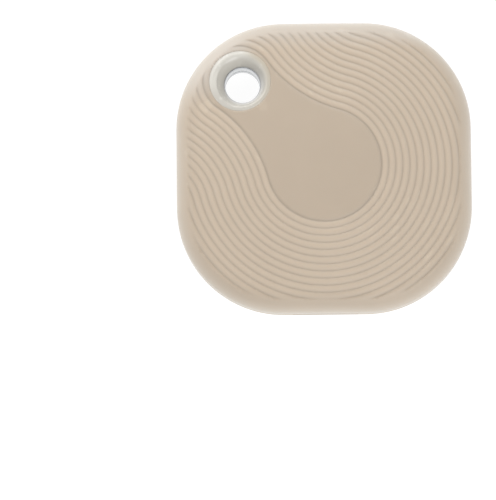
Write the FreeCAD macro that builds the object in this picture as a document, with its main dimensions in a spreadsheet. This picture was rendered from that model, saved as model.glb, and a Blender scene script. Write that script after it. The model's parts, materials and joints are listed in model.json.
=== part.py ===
import FreeCAD, Part
import math
import os

import Sketcher

# Bluetooth tracker tag: a rounded-square fob, 36 x 35.65 x 7 mm, with a soft grooved face,
# a key-ring eyelet through one corner, a pry-off rear cover and a CR2032 coin cell.
# Frame: Z up out of the face, origin on the rear face at the centre of the outline.
# The eyelet is at -X, +Y. All lengths are in millimetres.
# Names in _low and _top are heights above the rear face unless a comment says otherwise.

doc = FreeCAD.newDocument("tracker_tag")

DIMS = {
    # outside; short is how much nearer the axis the two Y sides are than the two X sides
    "width": 36.0, "short": 0.175, "corner": 13.0, "thick": 7.0, "dome": 100.0,
    "edge_front": 2.5, "edge_rear": 1.5, "parting": 1.9,
    "skin": 0.6, "shell": 0.6, "bond": 0.02, "dome_z": "=thick-dome",
    # modelling allowances: overshoot of cutters, overlap of fused blocks, hair's overlap, close fit
    "over": 1.0, "lap": 0.1, "skim": 0.01, "fit": 0.02, "above": "=thick+over",
    # eyelet sleeve and its O-ring
    "eye_x": -9.85, "eye_y": 10.15, "bore": 2.1, "sleeve_out": 2.5,
    "sleeve_low": 0.35, "sleeve_top": 4.3, "flare_low": 3.8,
    "ring_rad": 0.3, "ring_offset": 0.34, "ring_gap": 0.64,
    # eyelet collar, whose flange is off-centre, towards the corner
    "collar_x": -10.15, "collar_y": 10.45, "flange": 3.75, "flange_low": 4.95, "proud": 0.12,
    "barrel_rad": 3.08, "barrel_top": 5.2, "lip_round": 0.14,
    # press pad and plunger
    "pad_rad": 6.95, "pad_gap": 0.1, "pad_depth": 2.0, "plate_rad": 6.9, "plate_low": 5.86,
    "nub_rad": 1.2, "nub_low": 5.64,
    # front shell
    "shell_open": 7.1, "boss_out": 3.6, "boss_low": 2.02, "boss_top": 5.4,
    "seat_wall": 0.4, "seat_wall_low": 4.8, "seat_low": 4.9,
    "barrel_hole": 3.12, "barrel_seat": 0.05, "pilot_top": 4.25,
    "screw_boss": 1.35, "screw_boss_low": 2.62, "screw_boss_top": 4.6,
    "stop_rad": 0.6, "pin_rad": 0.5, "pin_drop": 0.2, "post_top": 5.1,
    # rear cover
    "floor": 0.6, "spigot_out": 16.7, "spigot_in": 15.8, "spigot_top": 3.0,
    "spigot_root": 0.2, "lead_in": 0.15,
    "seal_low": 2.1, "seal_top": 2.75, "seal_in": 16.1, "seal_round": 0.18,
    "cover_boss": 3.4, "land_rad": 4.3, "land_high": 0.15, "cover_eye_gap": 0.1,
    "sink_wide": 3.4, "sink_narrow": 2.5, "sink_deep": 0.45, "spigot_gap": 3.9,
    "pry_long": 8.0, "pry_wide": 1.2, "pry_deep": 0.55, "foam_rad": 7.5,
    # inner frame
    "frame_half": 15.6, "frame_low": 1.0, "frame_web": 0.7, "skirt": 0.7, "skirt_top": 3.2,
    "pocket_gap": 0.15, "pocket_wall": 0.6, "frame_top": 4.1, "boss_gap": 0.15,
    "screw_seat": 1.75, "screw_seat_top": 2.6, "prop_rad": 0.7, "prop_root": 0.2,
    "window_long": 4.4, "window_wide": 3.0, "window_low": 1.9, "window_at": 10.6,
    "thumb_rad": 3.2, "thumb_top": 2.3, "thumb_at": 10.4, "pin_clear": 0.8, "pin_clear_low": 3.3,
    # frame screws; head and slot depths are taken from the frame's rear face
    "screw_pos": 11.6, "screw_rad": 0.7, "head_rad": 1.15, "screw_gap": 0.1,
    "head_inset": 0.05, "head_depth": 0.55, "shank_start": 0.4, "shank_top": 4.0,
    "tip_rad": 0.3, "tip_top": 4.2, "slot_long": 1.4, "slot_wide": 0.3, "slot_depth": 0.35,
    # circuit board
    "board_rad": 14.3, "board_low": 4.1, "board_thick": 0.6, "board_notch": 3.8,
    "board_top": "=board_low+board_thick", "pin_hole": 0.55,
    # buzzer; drops are taken from the board's underside
    "buzzer_side": 4.0, "buzzer_high": 2.3, "buzzer_wall": 0.3, "buzzer_void": 1.75,
    "port_rad": 0.45, "disc_rad": 1.7, "disc_drop": 1.45, "disc_thick": 0.08,
    "coil_out": 1.3, "coil_in": 0.55, "coil_drop": 1.1, "pole_rad": 0.5, "pole_drop": 1.2,
    # tact switch; the heights from well_floor on are taken from the board's top
    "tact_x": 3.9, "tact_y": 3.0, "tact_high": 0.58, "tact_well": 1.3, "stem_rad": 0.8,
    "tact_top": "=board_top+tact_high", "lid_trim": 0.3, "lid_thick": 0.1, "lid_gap": 0.06,
    "snap_rad": 3.0, "snap_thick": 0.07, "snap_reach": 1.15, "flange_rad": 1.1,
    "well_floor": 0.14, "snap_high": 0.39, "snap_start": 0.15, "stem_start": 0.41,
    # battery contacts
    "negative_rad": 3.6, "negative_hole": 0.6, "relief_long": 2.6, "relief_wide": 0.5,
    "leaf_thick": 0.15, "leaf_wide": 3.4, "leaf_low": 2.0, "foot_long": 1.3, "contact_gap": 0.03,
    # coin cell; _in is taken inwards from its radius, _drop down from its top
    "cell_x": 0.9, "cell_y": -0.9, "cell_rad": 10.0, "cell_low": 0.75, "cell_high": 3.2,
    "cell_top": "=cell_low+cell_high", "cell_gap": 0.01,
    "can_wall": 0.25, "can_drop": 0.55, "crimp_drop": 0.3, "crimp_in": 0.55, "crimp_top_drop": 0.08,
    "mouth_in": 1.0, "mouth_drop": 0.7, "cap_in": 1.3, "cap_wall": 0.25, "cap_drop": 0.8,
    "cap_flange_drop": 0.2, "gasket_drop": 0.12, "core_in": 0.3,
}
sheet = doc.addObject("Spreadsheet::Sheet", "dims")
for row, (alias, value) in enumerate(DIMS.items(), start=1):
    sheet.set("A%d" % row, alias)
    sheet.set("B%d" % row, str(value))
    sheet.setAlias("B%d" % row, alias)
doc.recompute()

# Places as x, y: numbers, or expressions over the sheet
CENTRE = (0, 0)
EYE = ("eye_x", "eye_y")
COLLAR = ("collar_x", "collar_y")
CELL = ("cell_x", "cell_y")
BUZZER = (0, 12.0)
SCREWS = (("screw_pos", "screw_pos"), ("screw_pos", "-screw_pos"), ("-screw_pos", "-screw_pos"))
PINS = ((-7.5, -11.3), (11.3, 7.5))
PROPS = ((-5.6, 12.5), (3.6, 13.3), (12.9, 4.0), (12.6, -6.2), (2.6, -13.6))
STOP_RING = 12.9
STOP_ANGLES = (20, 75, 195, 250, 290, 340)

PARTS = []


# ---------------------------------------------------------------- expressions and places
def expression(text):
    """Puts the sheet's name in front of each alias in an expression."""
    spaced = "".join(ch if ch.isalnum() or ch in "_." else " %s " % ch for ch in str(text))
    return "".join("dims." + word if word in DIMS else word for word in spaced.split())


def bind(obj, **sizes):
    """Drives properties by expressions; a double underscore in a key stands for a dot."""
    for key, text in sizes.items():
        obj.setExpression(key.replace("__", "."), expression(text))
    return obj


def at(obj, spot, z):
    return bind(obj, Placement__Base__x=spot[0], Placement__Base__y=spot[1], Placement__Base__z=z)


def rotate(obj, axis, degrees):
    rotation = FreeCAD.Rotation(FreeCAD.Vector(*axis), degrees)
    obj.Placement = FreeCAD.Placement(FreeCAD.Vector(0, 0, 0), rotation)


def polar(ring, degrees):
    angle = math.radians(degrees)
    return round(ring * math.cos(angle), 4), round(ring * math.sin(angle), 4)


def diagonal(distance):
    """The place at a distance from the cell's centre towards +X, +Y."""
    return tuple("%s+(%s)*0.707107" % (centre, distance) for centre in CELL)


def keep(obj, label):
    """Marks a finished piece for export."""
    obj.Label = label
    PARTS.append(obj)


# ---------------------------------------------------------------- solids and booleans
def cyl(name, radius, low, high, spot=CENTRE):
    obj = doc.addObject("Part::Cylinder", name)
    bind(obj, Radius=radius, Height="(%s)-(%s)" % (high, low))
    return at(obj, spot, low)


def cyls(name, radius, low, high, spots):
    return [cyl("%s_%d" % (name, i), radius, low, high, spot) for i, spot in enumerate(spots)]


def cone(name, radius_low, radius_high, low, high, spot):
    obj = doc.addObject("Part::Cone", name)
    bind(obj, Radius1=radius_low, Radius2=radius_high, Height="(%s)-(%s)" % (high, low))
    return at(obj, spot, low)


def ball(name, radius, z, tilt=90):
    """A sphere on the Z axis, with its poles tilted about X by a number of degrees."""
    obj = bind(doc.addObject("Part::Sphere", name), Radius=radius)
    rotate(obj, (1, 0, 0), tilt)
    return at(obj, CENTRE, z)


def box(name, length, width, low, high, spot=CENTRE, turn=0.0):
    """A box centred on spot, turned about its own centre by a number of degrees."""
    obj = doc.addObject("Part::Box", name)
    bind(obj, Length=length, Width=width, Height="(%s)-(%s)" % (high, low))
    cos, sin = math.cos(math.radians(turn)), math.sin(math.radians(turn))
    rotate(obj, (0, 0, 1), turn)
    x = "(%s)-((%s)*%.6f-(%s)*%.6f)/2" % (spot[0], length, cos, width, sin)
    y = "(%s)-((%s)*%.6f+(%s)*%.6f)/2" % (spot[1], length, sin, width, cos)
    return at(obj, (x, y), low)


def cut(name, base, *tools):
    """Cuts each tool in turn, so every step keeps its own feature."""
    for i, tool in enumerate(tools):
        last = i == len(tools) - 1
        step = doc.addObject("Part::Cut", name if last else "%s_%d" % (name, i))
        step.Base = base
        step.Tool = tool
        base = step
    return base


def fuse(name, *shapes):
    obj = doc.addObject("Part::MultiFuse", name)
    obj.Shapes = list(shapes)
    return obj


def common(name, *shapes):
    obj = doc.addObject("Part::MultiCommon", name)
    obj.Shapes = list(shapes)
    return obj


def group(name, *shapes):
    obj = doc.addObject("Part::Compound", name)
    obj.Links = list(shapes)
    return obj


# ---------------------------------------------------------------- sketches and bodies
def sketch_on(body, name, role):
    """A sketch on one of the body's origin planes."""
    sketch = body.newObject("Sketcher::SketchObject", name)
    plane = [f for f in body.Origin.OriginFeatures if f.Role == role][0]
    sketch.AttachmentSupport = (plane, [""])
    sketch.MapMode = "FlatFace"
    return sketch


def add_line(sketch, start, end, construction=False):
    line = Part.LineSegment(FreeCAD.Vector(*start, 0), FreeCAD.Vector(*end, 0))
    sketch.addGeometry(line, construction)


def constrain(sketch, kind, *args):
    return sketch.addConstraint(Sketcher.Constraint(kind, *args))


def measure(sketch, name, kind, places, start, text):
    """A named dimension that begins at start and follows the expression text."""
    sketch.renameConstraint(constrain(sketch, kind, *places, start), name)
    bind(sketch, **{"Constraints__" + name: text})


def add_loop(sketch, points):
    """A closed polyline, joined at its corners."""
    count = len(points)
    for i in range(count):
        add_line(sketch, points[i], points[(i + 1) % count])
    for i in range(count):
        constrain(sketch, "Coincident", i, 2, (i + 1) % count, 1)


def steepness(edge):
    return abs(edge.tangentAt(edge.FirstParameter).z)


def edge_fillet(body, name, radius, test):
    """Rounds the edges of the body's tip that pass the test."""
    base = body.Tip
    fillet = body.newObject("PartDesign::Fillet", name)
    chosen = ["Edge%d" % i for i, e in enumerate(base.Shape.Edges, start=1) if test(e)]
    fillet.Base = (base, chosen)
    bind(fillet, Radius=radius)
    doc.recompute()


def rounded_body(name, half, low, high):
    """A rounded-square prism of half-width half, its corners concentric with the tag's."""
    body = doc.addObject("PartDesign::Body", name)
    sketch = sketch_on(body, name + "_outline", "XY_Plane")
    bind(sketch, AttachmentOffset__Base__z=low)
    start = 10.0
    add_loop(sketch, ((-start, -start), (start, -start), (start, start), (-start, start)))
    for i, kind in enumerate(("Horizontal", "Vertical", "Horizontal", "Vertical")):
        constrain(sketch, kind, i)
    constrain(sketch, "Symmetric", 0, 1, 1, 2, -1, 1)
    measure(sketch, "across", "DistanceX", (0, 1, 0, 2), 2 * start, "2*(%s)" % half)
    measure(sketch, "along", "DistanceY", (1, 1, 1, 2), 2 * start, "2*(%s)-2*short" % half)
    pad = body.newObject("PartDesign::Pad", name + "_pad")
    pad.Profile = sketch
    bind(pad, Length="(%s)-(%s)" % (high, low))
    doc.recompute()
    edge_fillet(body, name + "_corners", "corner-width/2+(%s)" % half,
                lambda e: steepness(e) > 0.99)
    return body


def domed_body(name, inset, low):
    """The tag's outside form, moved inwards by inset: domed top and rounded shoulder."""
    body = rounded_body(name, "width/2-(%s)" % inset, low, "above")

    # Profile of the waste above the dome: arc 0, side 1, top 2, side 3, turning axis 4
    sketch = sketch_on(body, name + "_dome_profile", "XZ_Plane")
    thick, dome = DIMS["thick"], DIMS["dome"]
    half_reach = 26.0
    depth = dome - thick
    lift = thick + 4
    half_axis = 5
    spread = math.asin(half_reach / dome)
    end_z = dome * math.cos(spread) - depth
    circle = Part.Circle(FreeCAD.Vector(0, -depth, 0), FreeCAD.Vector(0, 0, 1), dome)
    arc = Part.ArcOfCircle(circle, math.pi / 2 - spread, math.pi / 2 + spread)
    sketch.addGeometry(arc, False)
    add_line(sketch, (-half_reach, end_z), (-half_reach, lift))
    add_line(sketch, (-half_reach, lift), (half_reach, lift))
    add_line(sketch, (half_reach, lift), (half_reach, end_z))
    add_line(sketch, (-half_axis, -depth), (half_axis, -depth), construction=True)
    for joint in ((0, 2, 1, 1), (1, 2, 2, 1), (2, 2, 3, 1), (3, 2, 0, 1)):
        constrain(sketch, "Coincident", *joint)
    constrain(sketch, "Vertical", 1)
    constrain(sketch, "Vertical", 3)
    constrain(sketch, "Horizontal", 4)
    constrain(sketch, "Symmetric", 2, 1, 2, 2, -2)
    constrain(sketch, "Symmetric", 4, 1, 4, 2, 0, 3)
    constrain(sketch, "PointOnObject", 0, 3, -2)
    measure(sketch, "dome_radius", "Radius", (0,), dome, "dome-(%s)" % inset)
    measure(sketch, "centre_depth", "DistanceY", (0, 3, -1, 1), depth, "dome-thick")
    measure(sketch, "reach", "DistanceX", (2, 1, 2, 2), 2 * half_reach, "width*1.44")
    measure(sketch, "lift", "DistanceY", (-1, 1, 2, 1), lift, "thick+4")
    measure(sketch, "axis_length", "DistanceX", (4, 1, 4, 2), 2.0 * half_axis, 2 * half_axis)
    doc.recompute()

    groove = body.newObject("PartDesign::Groove", name + "_dome")
    groove.Profile = sketch
    groove.ReferenceAxis = (sketch, ["Axis0"])
    groove.Angle = 50
    groove.Midplane = True
    doc.recompute()

    def on_shoulder(edge):
        start = edge.Vertexes[0]
        outer = math.hypot(start.X, start.Y) > 12
        return edge.BoundBox.ZMin > thick / 2 and outer and steepness(edge) < 0.9

    edge_fillet(body, name + "_shoulder", "edge_front-(%s)" % inset, on_shoulder)
    return body


# ---------------------------------------------------------------- face, pad and plunger
def build_face_skin():
    """Soft moulding over the shell."""
    outside = domed_body("skin_outside", "0", "parting")
    inside = domed_body("skin_inside", "skin", "parting-over")
    pad_opening = cyl("skin_pad_opening", "pad_rad+pad_gap", "thick-pad_depth", "above")
    eye_opening = cyl("skin_eyelet_opening", "flange+bond", "parting-over", "above", COLLAR)
    keep(cut("face_skin_cut", outside, inside, pad_opening, eye_opening), "face_skin")


def build_button_pad():
    """Press pad, cut from the same moulding as the skin."""
    disc = cyl("pad_disc", "pad_rad", "thick-pad_depth", "above")
    cap = common("pad_cap", disc, ball("pad_top", "dome", "dome_z"))
    keep(cut("button_pad_cut", cap, ball("pad_under", "dome-skin", "dome_z")), "button_pad")


def build_button_plunger():
    """Domed plate with a nub under its centre."""
    disc = cyl("plate_disc", "plate_rad", "plate_low", "above")
    plate = common("plate_cap", disc, ball("plate_top", "dome-skin-bond", "dome_z"))
    nub = cyl("plate_nub", "nub_rad", "nub_low", "plate_low+lap")
    keep(fuse("button_plunger_fuse", plate, nub), "button_plunger")


# ---------------------------------------------------------------- front shell
def build_front_shell():
    """Rigid carrier under the skin, with its bosses, board stops and board pins."""
    outside = domed_body("shell_outside", "skin+bond", "parting")
    inside = domed_body("shell_inside", "skin+shell", "parting-over")
    wall = cut("shell_wall", outside, inside)
    stop_spots = [polar(STOP_RING, angle) for angle in STOP_ANGLES]
    blocks = [
        cyl("shell_eyelet_boss", "boss_out", "boss_low", "boss_top", EYE),
        # wall round the flange's seat
        cyl("shell_eyelet_ring", "flange+seat_wall", "seat_wall_low", "boss_top", COLLAR),
        *cyls("screw_boss", "screw_boss", "screw_boss_low", "screw_boss_top", SCREWS),
        *cyls("board_stop", "stop_rad", "board_top", "post_top", stop_spots),
        *cyls("board_pin", "pin_rad", "board_low-pin_drop", "post_top", PINS),
    ]
    # The trim ends halfway through the wall, so the fittings meet it without showing outside
    trim = domed_body("shell_trim", "skin+shell*0.5", "parting")
    fittings = common("shell_fittings", fuse("shell_fitting_blocks", *blocks), trim)
    keep(cut(
        "front_shell_cut", fuse("shell_with_fittings", wall, fittings),
        cyl("shell_pad_opening", "shell_open", "thick-pad_depth", "above"),
        cyl("shell_eyelet_barrel", "barrel_hole", "sleeve_top-barrel_seat", "above", EYE),
        cyl("shell_eyelet_seat", "flange+bond", "seat_low", "above", COLLAR),
        cyl("shell_sleeve_hole", "sleeve_out+fit", "boss_low-over", "sleeve_top", EYE),
        *cyls("screw_pilot", "screw_rad+fit", "screw_boss_low-over", "pilot_top", SCREWS),
    ), "front_shell")


# ---------------------------------------------------------------- eyelet
# Sections of the trumpet bore: radius, share of the way from sleeve to collar centre, z, lean
BORE_RINGS = (
    (2.13, 0.0, "sleeve_top-0.1", 0.0),
    (2.2, 0.0, "sleeve_top+0.1", 0.0),
    (2.5, 0.35, "5.2", 4.0),
    (3.33, 0.9, "6.1", 8.1),
    (3.62, 0.95, "6.6", 8.1),
)

# Outline of the sleeve: radius as alias and offset, z as alias and offset
SLEEVE_PROFILE = (
    ("bore", 0, "sleeve_low", 0.25),
    ("bore", 0.12, "sleeve_low", 0),
    ("sleeve_out", 0, "sleeve_low", 0),
    ("sleeve_out", 0, "sleeve_top", 0),
    ("bore", 0.1, "sleeve_top", 0),
    ("bore", 0, "flare_low", 0),
)


def build_eyelet_collar():
    """Barrel and off-centre flange with a leaning trumpet bore."""
    barrel = cyl("collar_barrel", "barrel_rad", "sleeve_top+fit", "barrel_top", EYE)
    disc = cyl("collar_disc", "flange-fit", "flange_low", "above", COLLAR)
    # the rim follows the domed face
    flange = common("collar_flange", disc, ball("collar_dome", "dome+proud", "dome_z"))
    doc.recompute()

    # Only the upper rim lies wholly above 5.2
    lip = doc.addObject("Part::Fillet", "collar_lip")
    lip.Base = flange
    radius = DIMS["lip_round"]
    lip.Edges = [(i, radius, radius) for i, e in enumerate(flange.Shape.Edges, start=1)
                 if e.BoundBox.ZMin > 5.2 and e.BoundBox.ZLength > 0.1 and e.Length > 2]
    doc.recompute()

    rings = []
    for i, (radius, share, z, lean) in enumerate(BORE_RINGS):
        ring = bind(doc.addObject("Part::Circle", "collar_ring_%d" % i), Radius=radius)
        rotate(ring, (-1, -1, 0), lean)
        spot = ("eye_x+(collar_x-eye_x)*%g" % share, "eye_y+(collar_y-eye_y)*%g" % share)
        rings.append(at(ring, spot, z))
    bore = doc.addObject("Part::Loft", "collar_bore")
    bore.Sections = rings
    bore.Solid = True
    bore.Ruled = False
    keep(cut("eyelet_collar_cut", fuse("collar_blank", barrel, lip), bore), "eyelet_collar")


def build_eyelet_sleeve():
    """Drawn steel tube, turned about its own Z axis."""
    body = doc.addObject("PartDesign::Body", "sleeve_turned")
    sketch = sketch_on(body, "sleeve_turned_profile", "XZ_Plane")
    points = [(DIMS[r] + r_off, DIMS[z] + z_off) for r, r_off, z, z_off in SLEEVE_PROFILE]
    add_loop(sketch, points)
    for i, (r, r_off, z, z_off) in enumerate(SLEEVE_PROFILE):
        place = (-1, 1, i, 1)
        measure(sketch, "r_%d" % i, "DistanceX", place, points[i][0], "%s+%g" % (r, r_off))
        measure(sketch, "z_%d" % i, "DistanceY", place, points[i][1], "%s+%g" % (z, z_off))
    doc.recompute()
    turned = body.newObject("PartDesign::Revolution", "sleeve_turned_turned")
    turned.Profile = sketch
    turned.ReferenceAxis = (sketch, ["V_Axis"])
    turned.Angle = 360
    doc.recompute()
    keep(at(body, EYE, "0"), "eyelet_sleeve")


def build_eyelet_seal():
    """O-ring round the sleeve, midway between the cover's boss and the shell's."""
    ring = doc.addObject("Part::Torus", "eyelet_o_ring")
    bind(ring, Radius1="sleeve_out+ring_offset", Radius2="ring_rad")
    keep(at(ring, EYE, "boss_low-ring_gap/2"), "eyelet_seal")


# ---------------------------------------------------------------- rear cover
def build_rear_cover():
    """Pry-off cover: plate, grooved spigot, eyelet boss and a pry notch at -Y."""
    plate = rounded_body("cover_plate", "width/2", "0", "parting")
    edge_fillet(plate, "cover_edge", "edge_rear", lambda e: e.BoundBox.ZMax < 0.01)
    foot = rounded_body("spigot_foot", "spigot_out", "parting-spigot_root", "seal_low")
    neck = rounded_body("spigot_neck", "seal_in", "seal_low-lap", "seal_top+lap")
    head = rounded_body("spigot_head", "spigot_out", "seal_top", "spigot_top")
    edge_fillet(head, "spigot_lead_in", "lead_in",
                lambda e: e.BoundBox.ZMin > DIMS["spigot_top"] - 0.01)
    hollow = rounded_body("cover_hollow", "spigot_in", "floor", "spigot_top+over")
    cup = cut("cover_cup", fuse("cover_solid", plate, foot, neck, head), hollow)
    boss = cyl("cover_eyelet_boss", "cover_boss", "floor-lap", "boss_low-ring_gap", EYE)
    land = cyl("cover_boss_land", "land_rad", "floor-lap", "floor+land_high", EYE)
    keep(cut(
        "rear_cover_cut", fuse("cover_with_boss", cup, boss, land),
        cyl("cover_eyelet_hole", "sleeve_out+cover_eye_gap", "-over", "spigot_top+over", EYE),
        cone("cover_eyelet_sink", "sink_wide", "sink_narrow", "-skim", "sink_deep", EYE),
        cyl("cover_spigot_gap", "spigot_gap", "parting", "spigot_top+over", EYE),
        box("pry_notch", "pry_long", "pry_wide", "parting-pry_deep", "parting+skim",
            (0, "-width/2+short")),
    ), "rear_cover")


def build_cover_seal():
    """Gasket round the spigot's neck."""
    outside = rounded_body("cover_seal_outside", "width/2-skin-shell-fit",
                           "seal_low+fit", "seal_top-fit")
    low, top = DIMS["seal_low"] + 0.03, DIMS["seal_top"] - 0.03
    edge_fillet(outside, "cover_seal_round", "seal_round",
                lambda e: e.BoundBox.ZMin > top or e.BoundBox.ZMax < low)
    inside = rounded_body("cover_seal_inside", "seal_in+fit", "seal_low-over", "seal_top+over")
    keep(cut("cover_seal_cut", outside, inside), "cover_seal")


def build_cell_foam_pad():
    keep(cyl("cell_pad_disc", "foam_rad", "floor", "cell_low-cell_gap", CELL), "cell_foam_pad")


# ---------------------------------------------------------------- inner frame and screws
def build_inner_frame():
    """Tray with the cell pocket, screw seats and props for the board."""
    block = rounded_body("frame_block", "frame_half", "frame_low", "skirt_top")
    void = rounded_body("frame_void", "frame_half-skirt", "frame_low+frame_web", "skirt_top+over")
    blocks = [
        cut("frame_tray", block, void),
        cyl("pocket_tube", "cell_rad+pocket_gap+pocket_wall", "frame_low", "frame_top", CELL),
        *cyls("screw_seat", "screw_seat", "frame_low", "screw_seat_top", SCREWS),
        *cyls("board_prop", "prop_rad", "frame_low+prop_root", "board_low", PROPS),
    ]
    limit = rounded_body("frame_limit", "frame_half", "frame_low", "frame_top")
    solid = common("frame_solid", fuse("frame_blocks", *blocks), limit)

    below, over_top = "frame_low-over", "frame_top+over"
    tools = [
        cyl("cell_pocket", "cell_rad+pocket_gap", below, over_top, CELL),
        cyl("frame_eyelet_hole", "boss_out+boss_gap", below, over_top, EYE),
        box("contact_window", "window_long", "window_wide", "window_low", over_top,
            diagonal("-window_at"), 135),
        cyl("thumb_notch", "thumb_rad", below, "thumb_top", diagonal("thumb_at")),
        *cyls("boss_clear", "screw_boss+boss_gap", "screw_seat_top", over_top, SCREWS),
    ]
    for i, spot in enumerate(SCREWS):
        tools += [
            cyl("screw_clear_%d" % i, "screw_rad+screw_gap", below, "screw_seat_top+over", spot),
            cyl("screw_sink_%d" % i, "head_rad+screw_gap", below, "frame_low+head_depth", spot),
        ]
    tools += cyls("pin_clear", "pin_clear", "pin_clear_low", over_top, PINS)
    keep(cut("inner_frame_cut", solid, *tools), "inner_frame")


def build_frame_screws():
    """Cross-slotted screws driven from the rear, each turned a little further."""
    first_turn, turn_step = 20, 40
    screws = []
    for i, spot in enumerate(SCREWS):
        blank = fuse(
            "screw_blank_%d" % i,
            cyl("screw_head_%d" % i, "head_rad", "frame_low+head_inset",
                "frame_low+head_depth", spot),
            cyl("screw_shank_%d" % i, "screw_rad", "frame_low+shank_start", "shank_top", spot),
            cone("screw_tip_%d" % i, "screw_rad", "tip_rad", "shank_top", "tip_top", spot))
        turn = first_turn + turn_step * i
        slots = [box("screw_slot_%s_%d" % (side, i), "slot_long", "slot_wide",
                     "frame_low-over", "frame_low+slot_depth", spot, angle)
                 for side, angle in (("a", turn), ("b", turn + 90))]
        screws.append(cut("screw_%d" % i, blank, *slots))
    keep(group("frame_screws_group", *screws), "frame_screws")


# ---------------------------------------------------------------- circuit board and components
# Component sizes: length, width, height below the board
SOC_SIZE = (3.6, 3.6, 0.75)
CRYSTAL_HF_SIZE = (2.0, 1.6, 0.5)
CRYSTAL_LF_SIZE = (1.6, 1.0, 0.45)
ANTENNA_SIZE = (3.2, 1.6, 0.5)
CAPACITOR_SIZE = (1.0, 0.5, 0.5)
RESISTOR_SIZE = (1.0, 0.5, 0.35)
INDUCTOR_SIZE = (1.0, 0.6, 0.55)

# Component places: distance from the axis, angle in degrees from +X
SOC_SPOT = (-12.0, 0.0)     # x, y
CRYSTAL_HF = ((12.6, 163),)
CRYSTAL_LF = ((12.9, 196),)
ANTENNA = ((13.0, 219),)
CAPACITORS = ((12.6, 58), (12.6, 64), (12.6, 70), (12.9, 25),
              (13.3, 203), (13.2, 262), (13.2, 268), (12.4, 106))
RESISTORS = ((12.7, 48), (12.7, 53), (12.5, 112), (13.2, 256), (13.2, 247))
INDUCTORS = ((13.2, 208.5), (12.9, 39.5))


def build_circuit_board():
    disc = cyl("board_disc", "board_rad", "board_low", "board_top")
    low, high = "board_low-over", "board_top+over"
    notch = cyl("board_eyelet_notch", "board_notch", low, high, EYE)
    holes = cyls("board_pin_hole", "pin_hole", low, high, PINS)
    keep(cut("circuit_board_cut", disc, notch, *holes), "circuit_board")


def chip(name, size, spot, turn=0.0):
    """A component hanging under the board."""
    length, width, height = size
    return box(name, length, width, "board_low-%s" % height, "board_low", spot, turn)


def ring_chips(name, size, places):
    """Components of one size, each lying square to the board's radius."""
    return [chip("%s_%d" % (name, i), size, polar(ring, angle), angle - 90)
            for i, (ring, angle) in enumerate(places)]


def build_components():
    keep(chip("soc_body", SOC_SIZE, SOC_SPOT), "rf_soc")
    keep(group("crystals_group",
               *ring_chips("crystal_hf", CRYSTAL_HF_SIZE, CRYSTAL_HF),
               *ring_chips("crystal_lf", CRYSTAL_LF_SIZE, CRYSTAL_LF)), "crystals")
    keep(ring_chips("antenna_block", ANTENNA_SIZE, ANTENNA)[0], "chip_antenna")
    for name, size, places in (("capacitor", CAPACITOR_SIZE, CAPACITORS),
                               ("resistor", RESISTOR_SIZE, RESISTORS),
                               ("inductor", INDUCTOR_SIZE, INDUCTORS)):
        keep(group(name + "s_group", *ring_chips(name, size, places)), name + "s")


# ---------------------------------------------------------------- buzzer, under the board
def build_buzzer():
    bottom = "board_low-buzzer_high"
    void_low, void_top = bottom + "+buzzer_wall", "board_low-buzzer_wall"
    block = box("buzzer_block", "buzzer_side", "buzzer_side", bottom, "board_low", BUZZER)
    void = cyl("buzzer_void", "buzzer_void", void_low, void_top, BUZZER)
    port = cyl("buzzer_port", "port_rad", bottom + "-over", void_low + "+lap", BUZZER)
    keep(cut("buzzer_case_cut", block, void, port), "buzzer_case")
    keep(cyl("buzzer_disc", "disc_rad", "board_low-disc_drop",
             "board_low-disc_drop+disc_thick", BUZZER), "buzzer_diaphragm")
    coil = cyl("coil_out", "coil_out", "board_low-coil_drop", void_top, BUZZER)
    coil_hole = cyl("coil_in", "coil_in", bottom, "board_low+over", BUZZER)
    keep(cut("coil_tube", coil, coil_hole), "buzzer_coil")
    keep(cyl("buzzer_pole", "pole_rad", "board_low-pole_drop", void_top, BUZZER), "buzzer_core")


# ---------------------------------------------------------------- tact switch, under the plunger
def build_tact_switch():
    above_board = "board_top+over"
    block = box("tact_block", "tact_x", "tact_y", "board_top", "tact_top")
    well = cyl("tact_well_hole", "tact_well", "board_top+well_floor", above_board)
    keep(cut("tact_base_cut", block, well), "tact_switch_base")

    lid = box("tact_lid", "tact_x-lid_trim", "tact_y", "tact_top", "tact_top+lid_thick")
    lid_hole = cyl("tact_lid_hole", "stem_rad+lid_gap", "board_top", above_board)
    keep(cut("tact_cover_cut", lid, lid_hole), "tact_switch_cover")

    centre = "board_top+snap_high-snap_rad"
    outer = ball("tact_dome_ball", "snap_rad", centre, tilt=0)
    inner = ball("tact_dome_hollow", "snap_rad-snap_thick", centre, tilt=0)
    limit = cyl("tact_dome_limit", "snap_reach", "board_top+snap_start", above_board)
    keep(cut("tact_dome_cut", common("tact_dome_cap", outer, limit), inner), "tact_switch_dome")

    flange = cyl("stem_flange", "flange_rad", "board_top+stem_start", "tact_top-fit")
    pin = cyl("stem_pin", "stem_rad", "tact_top-lap", "nub_low-fit")
    keep(fuse("tact_stem_fuse", flange, pin), "tact_switch_stem")


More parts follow.
